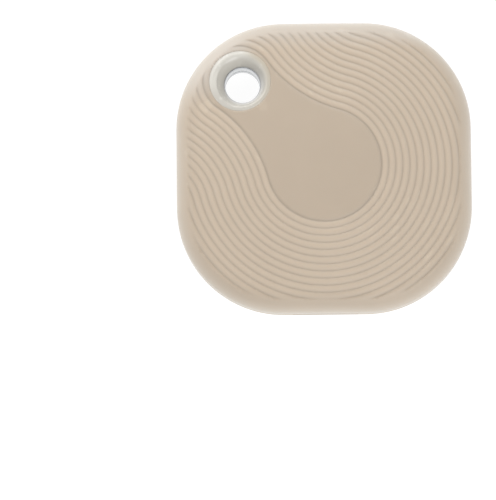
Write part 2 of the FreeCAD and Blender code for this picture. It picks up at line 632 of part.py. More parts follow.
# ---------------------------------------------------------------- battery contacts
def build_battery_contacts():
    """Slotted disc over the cell, and a leaf with a foot at the cell's -X, -Y side."""
    slot_ring, first_angle = 2.4, 15
    disc = cyl("negative_disc", "negative_rad", "cell_top+cell_gap", "board_low", CELL)
    low, high = "cell_top-over", "board_low+over"
    tools = [cyl("negative_centre", "negative_hole", low, high, CELL)]
    for i in range(3):
        angle = 120 * i + first_angle
        x, y = polar(slot_ring, angle)
        tools.append(box("negative_slot_%d" % i, "relief_long", "relief_wide", low, high,
                         ("cell_x+(%s)" % x, "cell_y+(%s)" % y), angle))
    keep(cut("negative_contact_cut", disc, *tools), "battery_contact_negative")

    leaf = box("positive_leaf", "leaf_thick", "leaf_wide", "leaf_low", "board_low",
               diagonal("-(cell_rad+contact_gap+leaf_thick/2)"), 45)
    foot = box("positive_foot", "foot_long", "leaf_wide", "board_low-leaf_thick", "board_low",
               diagonal("-(cell_rad+contact_gap+foot_long/2)"), 45)
    keep(fuse("positive_contact_fuse", leaf, foot), "battery_contact_positive")


# ---------------------------------------------------------------- coin cell
def build_coin_cell():
    """Crimped can, cap, the gasket between them, and the filling."""
    crimp_low, cap_low = "cell_top-crimp_drop", "cell_top-cap_drop"
    below, over_top = "cell_top-over", "cell_top+over"

    can = cyl("can_blank", "cell_rad", "cell_low", crimp_low, CELL)
    crimp = cone("can_crimp", "cell_rad", "cell_rad-crimp_in", crimp_low,
                 "cell_top-crimp_top_drop", CELL)
    void = cyl("can_void", "cell_rad-can_wall", "cell_low+can_wall", "cell_top-can_drop", CELL)
    mouth = cyl("can_mouth", "cell_rad-mouth_in", "cell_top-mouth_drop", over_top, CELL)
    keep(cut("cell_can_cut", fuse("can_solid", can, crimp), void, mouth), "cell_can")

    top = cyl("cap_top", "cell_rad-cap_in", "cell_top-cap_wall", "cell_top", CELL)
    skirt = cyl("cap_flange", "cell_rad-cap_in", cap_low, "cell_top-cap_flange_drop", CELL)
    void = cyl("cap_void", "cell_rad-cap_in-cap_wall", below, "cell_top-cap_wall", CELL)
    keep(cut("cell_cap_cut", fuse("cap_blank", top, skirt), void), "cell_cap")

    neck = cyl("gasket_neck", "cell_rad-mouth_in-fit", cap_low, "cell_top-gasket_drop", CELL)
    foot = cyl("gasket_foot", "cell_rad-can_wall-fit", cap_low, "cell_top-can_drop-fit", CELL)
    bore = cyl("gasket_bore", "cell_rad-cap_in+fit", below, over_top, CELL)
    keep(cut("cell_gasket_cut", fuse("gasket_blank", neck, foot), bore), "cell_gasket")

    keep(cyl("core_disc", "cell_rad-core_in", "cell_low+can_wall+fit", cap_low + "-fit", CELL),
         "cell_core")


for build in (build_face_skin, build_button_pad, build_button_plunger, build_front_shell,
              build_eyelet_collar, build_eyelet_sleeve, build_eyelet_seal,
              build_rear_cover, build_cover_seal, build_cell_foam_pad,
              build_inner_frame, build_frame_screws, build_circuit_board, build_components,
              build_buzzer, build_tact_switch, build_battery_contacts, build_coin_cell):
    build()

# ---------------------------------------------------------------- state check and export
doc.recompute()
bad = []
for obj in doc.Objects:
    if any(state in ("Invalid", "Error") for state in obj.State):
        bad.append("%s %s" % (obj.Name, obj.State))
for part in PARTS:
    shape = part.Shape
    if shape.isNull() or not shape.isValid() or not shape.Solids:
        bad.append("%s has no valid solid" % part.Label)
if bad:
    raise RuntimeError("; ".join(bad))
os.makedirs("parts", exist_ok=True)
for part in PARTS:
    part.Shape.exportStep("parts/" + part.Label + ".step")
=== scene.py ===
# A flat tag, square in plan with rounded corners: a domed soft face with contour grooves, and
# an eyelet through the -X +Y corner. It lies centred on the origin, face up along +Z, with its
# back at Z = 0.
import json
import math

import bmesh
import bpy
import numpy as np
from mathutils import Matrix, Vector
from mathutils.geometry import delaunay_2d_cdt


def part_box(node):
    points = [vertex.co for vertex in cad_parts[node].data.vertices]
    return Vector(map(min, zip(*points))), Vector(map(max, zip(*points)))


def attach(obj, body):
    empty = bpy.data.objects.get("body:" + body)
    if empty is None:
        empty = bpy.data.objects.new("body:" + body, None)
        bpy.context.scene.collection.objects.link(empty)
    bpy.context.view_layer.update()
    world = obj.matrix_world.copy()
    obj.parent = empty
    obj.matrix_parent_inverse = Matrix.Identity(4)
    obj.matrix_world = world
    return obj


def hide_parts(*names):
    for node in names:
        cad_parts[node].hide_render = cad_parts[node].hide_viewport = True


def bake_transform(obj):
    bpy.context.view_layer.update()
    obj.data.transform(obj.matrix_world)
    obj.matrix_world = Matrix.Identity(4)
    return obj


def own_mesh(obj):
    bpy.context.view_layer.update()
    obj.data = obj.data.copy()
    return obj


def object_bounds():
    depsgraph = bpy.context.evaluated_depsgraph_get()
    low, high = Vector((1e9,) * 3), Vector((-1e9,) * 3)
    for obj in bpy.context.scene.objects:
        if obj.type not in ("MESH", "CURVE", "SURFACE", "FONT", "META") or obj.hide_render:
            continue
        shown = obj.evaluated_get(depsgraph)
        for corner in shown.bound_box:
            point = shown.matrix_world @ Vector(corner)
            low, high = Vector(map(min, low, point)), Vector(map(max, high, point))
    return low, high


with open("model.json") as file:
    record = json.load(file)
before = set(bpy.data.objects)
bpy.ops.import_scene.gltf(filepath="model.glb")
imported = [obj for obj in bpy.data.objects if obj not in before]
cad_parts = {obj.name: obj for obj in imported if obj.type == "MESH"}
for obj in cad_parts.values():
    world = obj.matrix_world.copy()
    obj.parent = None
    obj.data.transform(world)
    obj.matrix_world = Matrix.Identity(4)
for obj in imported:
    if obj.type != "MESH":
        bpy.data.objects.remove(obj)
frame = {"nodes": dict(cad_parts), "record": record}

cad_lo, cad_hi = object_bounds()

# ------------------------------------------------------------------ dimensions
MM = 0.001          # lengths are millimetres until a mesh is made


def round_part(node):
    """Plan centre and radius of a round CAD piece."""
    lo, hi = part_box(node)
    return np.array([(lo.x + hi.x) / 2, (lo.y + hi.y) / 2]) / MM, (hi.x - lo.x) / 2 / MM


# Outside form
CORNER = 13.0                       # corner radius in plan
CORNER_CENTRE = np.array([cad_hi.x / MM - CORNER, cad_hi.y / MM - CORNER])
THICK = cad_hi.z / MM
DOME = 100.0                        # radius of the domed face
SHOULDER = 2.5                      # radius of the rolled edge
PART_Z = 1.9                        # height of the skin's lower edge
CORNER_STEPS, SIDE_STEPS = 44, 22   # outline points on each corner and each side

# Eyelet. The collar's flange is off-centre from its bore.
EYE, _ = round_part("eyelet_sleeve")
RIM, RIM_R = round_part("eyelet_collar")
SEAT_R = RIM_R + 0.006              # hole in the skin round the flange
CORNER_BEARING = 0.75 * math.pi     # direction of the -X +Y corner

# Land round the collar
LAND_DROP, LAND_SLOPE, LAND_CURVE = 0.04, 0.12, 0.55    # fall below the dome, going outward
LAND_BLEND = 0.12                   # height over which land and plain form merge
LAND_REACH, LAND_FADE = 0.95, 0.45  # where it ends beyond the seat, and its fade

# Contour pattern: every line is at a constant distance outside a keyhole outline, made of two
# circles joined by concave neck arcs.
BODY_CENTRE, BODY_R = np.zeros(2), 6.99
HEAD_CENTRE, HEAD_R = np.array([-10.40, 10.58]), 4.24
NECK_R = 16.04
PITCH, LINES, DEPTH = 0.8585, 14, 0.115
PATTERN_END = PITCH * (LINES - 0.5)
PATTERN_INSET, PATTERN_FADE = 1.3, 0.45     # plain margin along the outline
SEAT_MARGIN, SEAT_FADE = 0.05, 0.3          # plain margin round the seat
CUT_SHARE, CUT_WIDTH = 0.48, 0.14           # narrow cut at each line
CROWN_SHARE, CROWN_POWER = 0.52, 1.5        # fall of the rib towards the line

KEY_SPAN = np.linalg.norm(HEAD_CENTRE - BODY_CENTRE)
KEY_AXIS = (HEAD_CENTRE - BODY_CENTRE) / KEY_SPAN
KEY_SIDE = np.array([-KEY_AXIS[1], KEY_AXIS[0]])
BODY_REACH, HEAD_REACH = BODY_R + NECK_R, HEAD_R + NECK_R
# Neck arc centres, along and to either side of the axis
NECK_ALONG = (BODY_REACH ** 2 - HEAD_REACH ** 2 + KEY_SPAN ** 2) / (2 * KEY_SPAN)
NECK_OUT = math.sqrt(BODY_REACH ** 2 - NECK_ALONG ** 2)

# Skin mesh
TOP_INSET = 1.2                     # the top sheet stops this far inside the outline
SKIN = 0.6                          # skin thickness
UNDER_SPAN = 0.9                    # width of the under side's rolled edge
RAY_STEP = 0.25                     # spacing of points along the keyhole
LATTICE = 0.45                      # spacing of points off the pattern
HOLE_STEPS = 132
HOLE_ANGLES = 2 * math.pi * np.arange(HOLE_STEPS) / HOLE_STEPS
HOLE_CIRCLE = np.stack([np.cos(HOLE_ANGLES), np.sin(HOLE_ANGLES)], 1)
# Rows of points across one pitch, closest at the line; the first few also go inside line 0
ROW_OFFSETS = np.array([0, .035, .08, .14, .21, .30, .43, .56, .65, .72, .78, .824])
INNER_ROWS = slice(1, 7)
SEAT_RINGS = (0.06, 0.13, 0.24, 0.4, 0.6, 0.85, 1.2)    # rings of points beyond the seat
# Wall of the skin from the shoulder down, as (inset from the outline, height)
WALL = [(0, 2.6), (0, 2.08), (0.03, 1.96), (0.11, PART_Z), (SKIN, PART_Z)]

# Sleeve section, as (radius, height): flared top, bore with a step half-way, outside
SLEEVE_SECTION = [
    (2.27, 4.29), (2.215, 4.26), (2.17, 4.1), (2.125, 3.93), (2.103, 3.83), (2.1, 3.7),
    (2.1, 2.5), (2.1, 2.12), (2.13, 2.06), (2.2, 2.0), (2.2, 1.86), (2.13, 1.8), (2.1, 1.74),
    (2.1, 0.62), (2.13, 0.5), (2.2, 0.4), (2.3, 0.36),
    (2.44, 0.36), (2.49, 0.41), (2.49, 4.22), (2.43, 4.29),
]


# ------------------------------------------------------------------ plan geometry
def heading(angle):
    return np.array([math.cos(angle), math.sin(angle)])


def distance(points, centre):
    return np.linalg.norm(points - centre, axis=1)


def bearing_from(points, centre):
    return np.arctan2(points[:, 1] - centre[1], points[:, 0] - centre[0])


def cross(a, b):
    return a[..., 0] * b[..., 1] - a[..., 1] * b[..., 0]


def ease(x):
    """Smooth step from 0 to 1."""
    x = np.clip(x, 0, 1)
    return x * x * (3 - 2 * x)


def neck_centre(side):
    return BODY_CENTRE + KEY_AXIS * NECK_ALONG + KEY_SIDE * NECK_OUT * side


def keyhole_distance(points):
    """Signed distance from the keyhole outline, positive outside."""
    result = np.minimum(distance(points, BODY_CENTRE) - BODY_R,
                        distance(points, HEAD_CENTRE) - HEAD_R)
    for side in (1, -1):
        neck = neck_centre(side)
        to_body, to_head, ray = BODY_CENTRE - neck, HEAD_CENTRE - neck, points - neck
        turn_sign = np.sign(cross(to_body, to_head))
        in_sector = (
            (turn_sign * cross(to_body, ray) >= 0)
            & (turn_sign * cross(ray, to_head) >= 0)
            & (((points - BODY_CENTRE) @ KEY_SIDE) * side > 0)
        )
        result = np.where(in_sector, NECK_R - np.linalg.norm(ray, axis=1), result)
    return result


def keyhole_rays():
    """Points on the keyhole outline and the directions in which the distance grows."""
    base = math.atan2(KEY_AXIS[1], KEY_AXIS[0])
    body = math.atan2(NECK_OUT, NECK_ALONG)
    head = math.atan2(NECK_OUT, NECK_ALONG - KEY_SPAN)
    full, half = 2 * math.pi, math.pi
    arcs = (        # centre, radius, start and end angle from the axis, direction sign
        (HEAD_CENTRE, HEAD_R, -head, head, 1),
        (neck_centre(1), NECK_R, head + half, body + half, -1),
        (BODY_CENTRE, BODY_R, body, full - body, 1),
        (neck_centre(-1), NECK_R, half - body, half - head, -1),
    )
    points, normals = [], []
    for centre, radius, start, end, sign in arcs:
        steps = max(2, int(abs(end - start) * radius / RAY_STEP))
        for i in range(steps):
            direction = heading(base + start + (end - start) * i / steps)
            points.append(centre + radius * direction)
            normals.append(direction * sign)
    return np.array(points), np.array(normals)


def outline():
    """Points and outward normals round the rounded square, anticlockwise from +X."""
    points, normals = [], []
    for quarter, signs in enumerate(((1, 1), (-1, 1), (-1, -1), (1, -1))):
        centre = np.array(signs) * CORNER_CENTRE
        start = quarter * math.pi / 2
        for i in range(CORNER_STEPS):
            normal = heading(start + math.pi / 2 * i / CORNER_STEPS)
            points.append(centre + CORNER * normal)
            normals.append(normal)
        normal = heading(start + math.pi / 2)
        along = np.array([-normal[1], normal[0]])
        for i in range(SIDE_STEPS):
            travel = 2 * CORNER_CENTRE[quarter % 2] * i / SIDE_STEPS
            points.append(centre + CORNER * normal + along * travel)
            normals.append(normal)
    return np.array(points), np.array(normals)


def edge(points, inset=0.0):
    """Depth inside the outline moved in by inset, and the normal at the nearest edge."""
    past = np.abs(points) - CORNER_CENTRE
    beyond = np.maximum(past, 0)
    length = np.linalg.norm(beyond, axis=1)
    depth = (CORNER - inset) - length - np.minimum(np.maximum(past[:, 0], past[:, 1]), 0)
    x_side = past[:, 0] >= past[:, 1]
    flat = np.stack([np.where(x_side, 1.0, 0.0), np.where(x_side, 0.0, 1.0)], 1)
    radial = beyond / np.maximum(length, 1e-9)[:, None]
    normal = np.where((length > 1e-9)[:, None], radial, flat)
    return depth, normal * np.where(points < 0, -1.0, 1.0)


# ------------------------------------------------------------------ heights of the face
def dome_z(points, drop=0.0):
    """Height of the dome, or of the sphere a distance drop inside it."""
    return THICK - DOME + np.sqrt((DOME - drop) ** 2 - (points ** 2).sum(1))


def top_z(points, inset=0.0):
    """Height of the plain form, a dome with a rolled shoulder, moved in by inset."""
    radius = SHOULDER - inset
    depth, normal = edge(points, inset)
    out = np.clip(radius - depth, 0, radius)
    centre = points - normal * out[:, None]
    rolled = dome_z(centre, SHOULDER) + np.sqrt(np.maximum(radius * radius - out * out, 0))
    tangent = radius * (centre * normal).sum(1) / (DOME - SHOULDER)
    return np.where(out > tangent, rolled, dome_z(points, inset))


def land_z(points):
    """The plain form with the collar's land, which carries the dome on over the shoulder."""
    plain = top_z(points)
    out = np.maximum(distance(points, RIM) - SEAT_R, 0)
    land = dome_z(points) - LAND_DROP - LAND_SLOPE * out - LAND_CURVE * out ** 2
    overlap = np.maximum(LAND_BLEND - np.abs(land - plain), 0) / LAND_BLEND
    raised = np.maximum(land, plain) + overlap * overlap * LAND_BLEND / 4
    return plain + (raised - plain) * ease((LAND_REACH - out) / LAND_FADE)


def pattern(points):
    """Strength of the pattern, distance to the nearest line, distance from the keyhole."""
    field = keyhole_distance(points)
    gap = np.abs(field - PITCH * np.round(field / PITCH))
    gap = np.where(field < 0, np.abs(field), gap)
    depth, _ = edge(points)
    seat_gap = distance(points, RIM) - SEAT_R
    strength = ease((depth - PATTERN_INSET) / PATTERN_FADE)
    strength = strength * ease((seat_gap - SEAT_MARGIN) / SEAT_FADE)
    return np.where(field > PATTERN_END, 0.0, strength), gap, field


def skin_z(points):
    """Top of the soft face: crowned ribs between narrow cut lines."""
    strength, gap, _ = pattern(points)
    nearness = np.clip(1 - gap / (PITCH / 2), 0, 1)
    cut = CUT_SHARE * np.exp(-(gap / CUT_WIDTH) ** 2)
    return land_z(points) - DEPTH * strength * (cut + CROWN_SHARE * nearness ** CROWN_POWER)


# ------------------------------------------------------------------ mesh helpers
def triangulate(points, outer, hole):
    """Delaunay triangles, less those that span the hole.

    The first outer points are the convex outer loop and the next hole points the hole.
    """
    loop = [(i, (i + 1) % outer) for i in range(outer)]
    flat = [Vector((float(x), float(y))) for x, y in points]
    result = delaunay_2d_cdt(flat, loop, [], 0, 1e-6)
    found, triangles, sources = result[0], result[2], result[3]
    if len(found) != len(points) or not all(sources):
        raise RuntimeError("the face mesh gained or lost points")
    kept = []
    for triangle in triangles:
        corners = [sources[i][0] for i in triangle]
        if not all(outer <= i < outer + hole for i in corners):
            kept.append(corners)
    return kept


def strip(first, second, count):
    """Quads between two closed rings of vertices that start at first and second."""
    quads = []
    for i in range(count):
        j = (i + 1) % count
        quads.append([first + i, first + j, second + j, second + i])
    return quads


def mesh_object(name, verts, faces):
    """A smooth-shaded object from millimetre vertices; it must be closed."""
    mesh = bpy.data.meshes.new(name)
    mesh.from_pydata([tuple(float(c) * MM for c in v) for v in verts], [], faces)
    bm = bmesh.new()
    bm.from_mesh(mesh)
    bmesh.ops.recalc_face_normals(bm, faces=bm.faces)
    if any(len(e.link_faces) != 2 for e in bm.edges):
        raise RuntimeError("%s has open edges" % name)
    bm.to_mesh(mesh)
    bm.free()
    mesh.shade_smooth()
    ob = bpy.data.objects.new(name, mesh)
    bpy.context.collection.objects.link(ob)
    return ob


def swept(name, section, segments):
    """A closed ring about the eyelet's axis; section(angle) gives (radius, height) points."""
    verts, faces = [], []
    for k in range(segments):
        angle = 2 * math.pi * k / segments
        profile = section(angle)
        for r, z in profile:
            verts.append((EYE[0] + r * math.cos(angle), EYE[1] + r * math.sin(angle), z))
    count = len(profile)
    for k in range(segments):
        faces.extend(strip(k * count, (k + 1) % segments * count, count))
    return mesh_object(name, verts, faces)


def add_attributes(ob, **values):
    for name, value in values.items():
        attribute = ob.data.attributes.new(name, "FLOAT", "POINT")
        attribute.data.foreach_set("value", value.astype(np.float32))


# ------------------------------------------------------------------ materials
ROUGH_VARY = 0.06       # the grain moves the roughness this far either way


def lin(r, g, b):
    """Linear colour from 0-255 display values."""
    return [v / 255 / 12.92 if v / 255 <= 0.04045 else ((v / 255 + 0.055) / 1.055) ** 2.4
            for v in (r, g, b)]


def layer_colour(mat, factor, colour, blend="MIX"):
    """Mixes a linear colour over the base colour, by a factor socket."""
    tree = mat.node_tree
    base = tree.nodes["Principled BSDF"].inputs["Base Color"]
    mix = tree.nodes.new("ShaderNodeMix")
    mix.data_type = "RGBA"
    mix.blend_type = blend
    tree.links.new(factor, mix.inputs["Factor"])
    tree.links.new(base.links[0].from_socket, mix.inputs["A"])
    mix.inputs["B"].default_value = (*colour, 1)
    tree.links.new(mix.outputs["Result"], base)


def make_material(name, colour, rough, metal=0.0, vary=0.05, vary_scale=0.4, grain=6.0,
                  bump=0.02, sheen=0.0, coat=0.0, wear=0.0, wear_colour=None, brushed=None,
                  subsurface=0.0):
    """Mottled colour, fine grain in roughness and bump, and edge wear.

    colour, wear_colour: 0-255 display values; vary: share of mottling either way.
    vary_scale, grain: noise scales per mm; brushed: stretch of the grain on each axis.
    bump: grain height in mm; wear: strength of the edge colour.
    """
    mat = bpy.data.materials.new(name)
    mat.use_nodes = True
    tree = mat.node_tree
    tree.nodes.clear()
    new, link = tree.nodes.new, tree.links.new
    output = new("ShaderNodeOutputMaterial")
    bsdf = new("ShaderNodeBsdfPrincipled")
    link(bsdf.outputs[0], output.inputs[0])
    coords = new("ShaderNodeTexCoord")

    def per_mm(stretch):
        mapping = new("ShaderNodeMapping")
        mapping.inputs["Scale"].default_value = tuple(1000 * s for s in stretch)
        link(coords.outputs["Object"], mapping.inputs["Vector"])
        return mapping.outputs[0]

    def noise(scale, vector):
        node = new("ShaderNodeTexNoise")
        node.inputs["Scale"].default_value = scale
        node.inputs["Detail"].default_value = 4.0
        link(vector, node.inputs["Vector"])
        return node.outputs["Fac"]

    plain = per_mm((1, 1, 1))
    mottle = noise(vary_scale, plain)
    ramp = new("ShaderNodeValToRGB")
    linear = lin(*colour)
    stops = ((0.35, 1 - vary), (0.65, 1 + vary))
    for stop, (position, gain) in zip(ramp.color_ramp.elements, stops):
        stop.position = position
        stop.color = [v * gain for v in linear] + [1]
    link(mottle, ramp.inputs["Fac"])
    link(ramp.outputs["Color"], bsdf.inputs["Base Color"])
    if wear:
        geometry = new("ShaderNodeNewGeometry")
        edges = new("ShaderNodeMapRange")
        edges.inputs["From Min"].default_value = 0.52
        edges.inputs["From Max"].default_value = 0.62
        edges.inputs["To Max"].default_value = wear
        link(geometry.outputs["Pointiness"], edges.inputs["Value"])
        worn = lin(*wear_colour) if wear_colour else [v * 1.25 for v in linear]
        layer_colour(mat, edges.outputs[0], worn)
    fine = noise(grain, per_mm(brushed) if brushed else plain)
    roughness = new("ShaderNodeMapRange")
    roughness.inputs["To Min"].default_value = rough - ROUGH_VARY
    roughness.inputs["To Max"].default_value = min(1, rough + ROUGH_VARY)
    link(fine, roughness.inputs["Value"])
    link(roughness.outputs[0], bsdf.inputs["Roughness"])
    relief = new("ShaderNodeBump")
    relief.inputs["Strength"].default_value = 0.6
    relief.inputs["Distance"].default_value = bump * MM
    link(fine, relief.inputs["Height"])
    link(relief.outputs[0], bsdf.inputs["Normal"])
    settings = {"Metallic": metal, "Sheen Weight": sheen, "Sheen Roughness": 0.4,
                "Coat Weight": coat, "Coat Roughness": 0.12}
    if subsurface:
        settings.update({"Subsurface Weight": subsurface, "Subsurface Scale": 0.0004,
                         "Subsurface Radius": (1.0, 0.7, 0.5)})
    for socket, value in settings.items():
        bsdf.inputs[socket].default_value = value
    return mat


def tint(mat, **factors):
    """Multiplies the colour by a linear factor where each named mesh attribute says so."""
    for name, factor in factors.items():
        attribute = mat.node_tree.nodes.new("ShaderNodeAttribute")
        attribute.attribute_name = name
        layer_colour(mat, attribute.outputs["Fac"], factor, blend="MULTIPLY")


def bloom(mat, colour, amount):
    """Painted sheen: paler and greyer where the surface turns away from the eye, a painted
    reflection of the bright surroundings at grazing angles.
    """
    tree = mat.node_tree
    facing = tree.nodes.new("ShaderNodeLayerWeight")
    scaled = tree.nodes.new("ShaderNodeMath")
    scaled.operation = "MULTIPLY"
    scaled.use_clamp = True
    scaled.inputs[1].default_value = amount
    tree.links.new(facing.outputs["Facing"], scaled.inputs[0])
    layer_colour(mat, scaled.outputs[0], lin(*colour))


# Named after the frame's material slots
LOOKS = {
    "soft_skin": dict(colour=(190, 174, 155), rough=0.48, vary=0.010, vary_scale=0.25,
                      grain=9.0, bump=0.006, sheen=0.22, wear=0.30,
                      wear_colour=(206, 192, 172), subsurface=0.05),
    "collar_gloss": dict(colour=(203, 199, 190), rough=0.30, vary=0.010, grain=3.0, bump=0.002,
                         coat=0.4, sheen=0.15, wear=0.3, wear_colour=(232, 229, 222)),
    "sleeve_steel": dict(colour=(197, 199, 201), rough=0.22, metal=1.0, vary=0.03, grain=4.0,
                         bump=0.004, brushed=(0.3, 0.3, 12), wear=0.3),
    "shell_plastic": dict(colour=(222, 218, 208), rough=0.5, vary=0.03, grain=5.0, bump=0.008,
                          wear=0.2),
    "cover_plastic": dict(colour=(203, 190, 170), rough=0.52, vary=0.008, vary_scale=0.3,
                          grain=9.0, bump=0.012, wear=0.15, wear_colour=(222, 212, 196)),
    "seal_rubber": dict(colour=(58, 58, 60), rough=0.7, vary=0.12, grain=4.0, bump=0.01,
                        sheen=0.2),
    "foam": dict(colour=(70, 70, 74), rough=0.95, vary=0.25, vary_scale=3.0, grain=5.0,
                 bump=0.12, sheen=0.3),
    "frame_plastic": dict(colour=(66, 67, 70), rough=0.55, vary=0.08, grain=5.0, bump=0.01,
                          wear=0.35, wear_colour=(110, 110, 114)),
    "screw_steel": dict(colour=(178, 180, 184), rough=0.3, metal=1.0, vary=0.06, grain=6.0,
                        bump=0.006, wear=0.5, wear_colour=(225, 225, 228)),
    "board_laminate": dict(colour=(22, 84, 58), rough=0.35, vary=0.2, vary_scale=1.2,
                           grain=3.0, bump=0.01, coat=0.4, wear=0.4,
                           wear_colour=(150, 160, 110)),
    "chip_epoxy": dict(colour=(44, 44, 46), rough=0.6, vary=0.15, vary_scale=2.0, grain=12.0,
                       bump=0.01, wear=0.3, wear_colour=(90, 90, 92)),
    "plated_can": dict(colour=(206, 205, 198), rough=0.25, metal=1.0, vary=0.05, grain=5.0,
                       bump=0.005, wear=0.3),
    "ceramic_pale": dict(colour=(222, 222, 214), rough=0.35, vary=0.06, vary_scale=1.5,
                         grain=6.0, bump=0.006, coat=0.3),
    "ceramic_tan": dict(colour=(172, 142, 108), rough=0.4, vary=0.12, vary_scale=1.5,
                        grain=6.0, bump=0.006, coat=0.2),
    "ceramic_grey": dict(colour=(92, 92, 96), rough=0.4, vary=0.12, vary_scale=1.5, grain=6.0,
                         bump=0.006),
    "copper": dict(colour=(196, 122, 84), rough=0.3, metal=1.0, vary=0.1, grain=2.0, bump=0.05,
                   brushed=(0.4, 0.4, 14)),
    "gold_contact": dict(colour=(222, 188, 116), rough=0.26, metal=1.0, vary=0.06, grain=5.0,
                         bump=0.004, wear=0.4, wear_colour=(205, 205, 200)),
    "cell_steel": dict(colour=(198, 199, 202), rough=0.24, metal=1.0, vary=0.05, grain=4.0,
                       bump=0.004, brushed=(0.3, 6, 6), wear=0.4, wear_colour=(232, 232, 234)),
    "cell_paste": dict(colour=(52, 52, 55), rough=0.85, vary=0.2, vary_scale=2.0, grain=8.0,
                       bump=0.03),
}
MATERIALS = {name: make_material(name, **look) for name, look in LOOKS.items()}
# Painted light on the skin: the ribs painted lighter, the cut lines painted darker, and a
# paler, bluer painted reflection by the eyelet's corner and the +Y edge.
tint(MATERIALS["soft_skin"], rib=(1.145,) * 3, groove=(0.83,) * 3, cheek=(1.06, 1.13, 1.24))
# Painted sheen: paler, greyer skin at grazing angles, standing in for reflected light.
bloom(MATERIALS["soft_skin"], colour=(222, 220, 212), amount=0.46)
# Painted light on the collar: painted shade deep in the bore and at its foot, painted warm
# shade on the flange's edge, and a painted highlight on its corner side.
tint(MATERIALS["collar_gloss"], deep=(0.93,) * 3, foot=(0.60,) * 3, outer=(0.92, 0.86, 0.77),
     lit=(1.16, 1.17, 1.18))


def dress(ob, name):
    ob.data.materials.clear()
    ob.data.materials.append(MATERIALS[name])


slot_of = {part["node"]: part["material_slot"] for part in frame["record"]["subparts"]}
for node, ob in frame["nodes"].items():
    dress(ob, slot_of[node])


# ------------------------------------------------------------------ soft face
def lattice(low, high, step, stagger=0.0):
    """A square grid of plan points, with every other row shifted by stagger."""
    ticks = np.arange(low, high, step)
    x, y = np.meshgrid(ticks, ticks)
    x = x + stagger * (np.arange(len(ticks))[:, None] % 2)
    return np.stack([x.ravel(), y.ravel()], 1)


def top_points():
    """Points inside the top sheet: along the lines, then in the plain areas."""
    starts, rays = keyhole_rays()
    rows = np.concatenate([-ROW_OFFSETS[INNER_ROWS][::-1]]
                          + [ROW_OFFSETS + i * PITCH for i in range(LINES)])
    grid = (starts[None, :, :] + rays[None, :, :] * rows[:, None, None]).reshape(-1, 2)
    # Rays that have crossed others are no longer at their own distance; drop those points.
    true_row = np.abs(keyhole_distance(grid) - np.repeat(rows, len(starts))) < 1e-6
    on_lines = grid[(edge(grid)[0] > TOP_INSET + 0.07)
                    & (distance(grid, RIM) > SEAT_R + 0.09) & true_row]

    plain = lattice(-12, 17.4, LATTICE, stagger=LATTICE / 2)
    round_seat = np.concatenate([RIM + HOLE_CIRCLE[::2] * (SEAT_R + s) for s in SEAT_RINGS])

    def in_keyhole(points):
        return (keyhole_distance(points) < -0.27) & (edge(points)[0] > TOP_INSET + 0.1)

    inside = plain[in_keyhole(plain) & (distance(plain, RIM) > SEAT_R + 1.45)]
    beyond = plain[(keyhole_distance(plain) > PITCH * (LINES - 0.1))
                   & (edge(plain)[0] > TOP_INSET + 0.2)]
    return np.concatenate([on_lines, inside, round_seat[in_keyhole(round_seat)], beyond])


def under_points():
    points = lattice(-16.5, 16.6, 1.1)
    return points[(edge(points)[0] > SKIN + 1.4) & (distance(points, RIM) > SEAT_R + 0.5)]


def build_skin():
    """Top sheet, shoulder and wall, under side, and the wall of the eyelet's hole."""
    rim, normals = outline()
    count = len(rim)
    hole = RIM + HOLE_CIRCLE * SEAT_R
    verts, faces = [], []

    def add_sheet(inset, inner, height):
        points = np.concatenate([rim - normals * inset, hole, inner])
        first = len(verts)
        verts.extend(np.column_stack([points, height(points)]))
        for corners in triangulate(points, count, HOLE_STEPS):
            faces.append([first + i for i in corners])
        return first

    def shoulder_rings(inset, span, shares):
        """Rings at shares of the arc that rises from the wall to a distance span inside it."""
        radius = SHOULDER - inset
        centre = rim - normals * SHOULDER
        centre_z = dome_z(centre, SHOULDER)
        full = math.acos((radius - span) / radius)
        return [np.column_stack([centre + normals * radius * math.cos(full * share),
                                 centre_z + radius * math.sin(full * share)])
                for share in shares]

    top = add_sheet(TOP_INSET, top_points(), skin_z)
    rings = shoulder_rings(0.0, TOP_INSET, [1 - k / 12 for k in range(1, 13)])
    rings += [np.column_stack([rim - normals * inset, np.full(count, z)]) for inset, z in WALL]
    rings += shoulder_rings(SKIN, UNDER_SPAN, [k / 5 for k in range(5)])
    last = top
    for ring in rings:
        first = len(verts)
        verts.extend(ring)
        faces.extend(strip(last, first, count))
        last = first
    under = add_sheet(SKIN + UNDER_SPAN, under_points(), lambda points: top_z(points, SKIN))
    faces.extend(strip(last, under, count))
    faces.extend(strip(top + count, under + count, HOLE_STEPS))
    ob = mesh_object("face_skin_ribbed", verts, faces)
    colour_skin(ob, np.array(verts)[:, :2])
    return ob


def colour_skin(ob, plan):
    """Attributes for painted light on the skin: a painted highlight on the ribs, painted shade
    in the cut lines, and a paler, bluer painted reflection on the eyelet's corner side and
    along the +Y edge.
    """
    strength, gap, field = pattern(plan)
    margin = ease((edge(plan)[0] - PATTERN_INSET + 0.9) / 2.6)
    margin = margin * ease((distance(plan, RIM) - SEAT_R) / 0.8)
    # painted reflection: paler and bluer on the eyelet's corner side and along the +Y edge
    towards_corner = np.cos(bearing_from(plan, EYE) - CORNER_BEARING)
    cheek = ease((towards_corner - 0.25) / 0.6) * ease((9.0 - distance(plan, EYE)) / 3.0)
    add_attributes(
        ob,
        # painted highlight: the ribbed area is painted lighter than the plain face
        rib=np.where(field > PATTERN_END, 0, margin) * ease(field / 0.2),
        # painted shade: the cut lines are painted darker
        groove=strength * np.exp(-(gap / 0.17) ** 2),
        cheek=np.maximum(cheek, 0.8 * ease((plan[:, 1] - 14.0) / 2.5)),
    )


skin = build_skin()
dress(skin, "soft_skin")
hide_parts("face_skin", "button_pad")
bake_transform(skin)

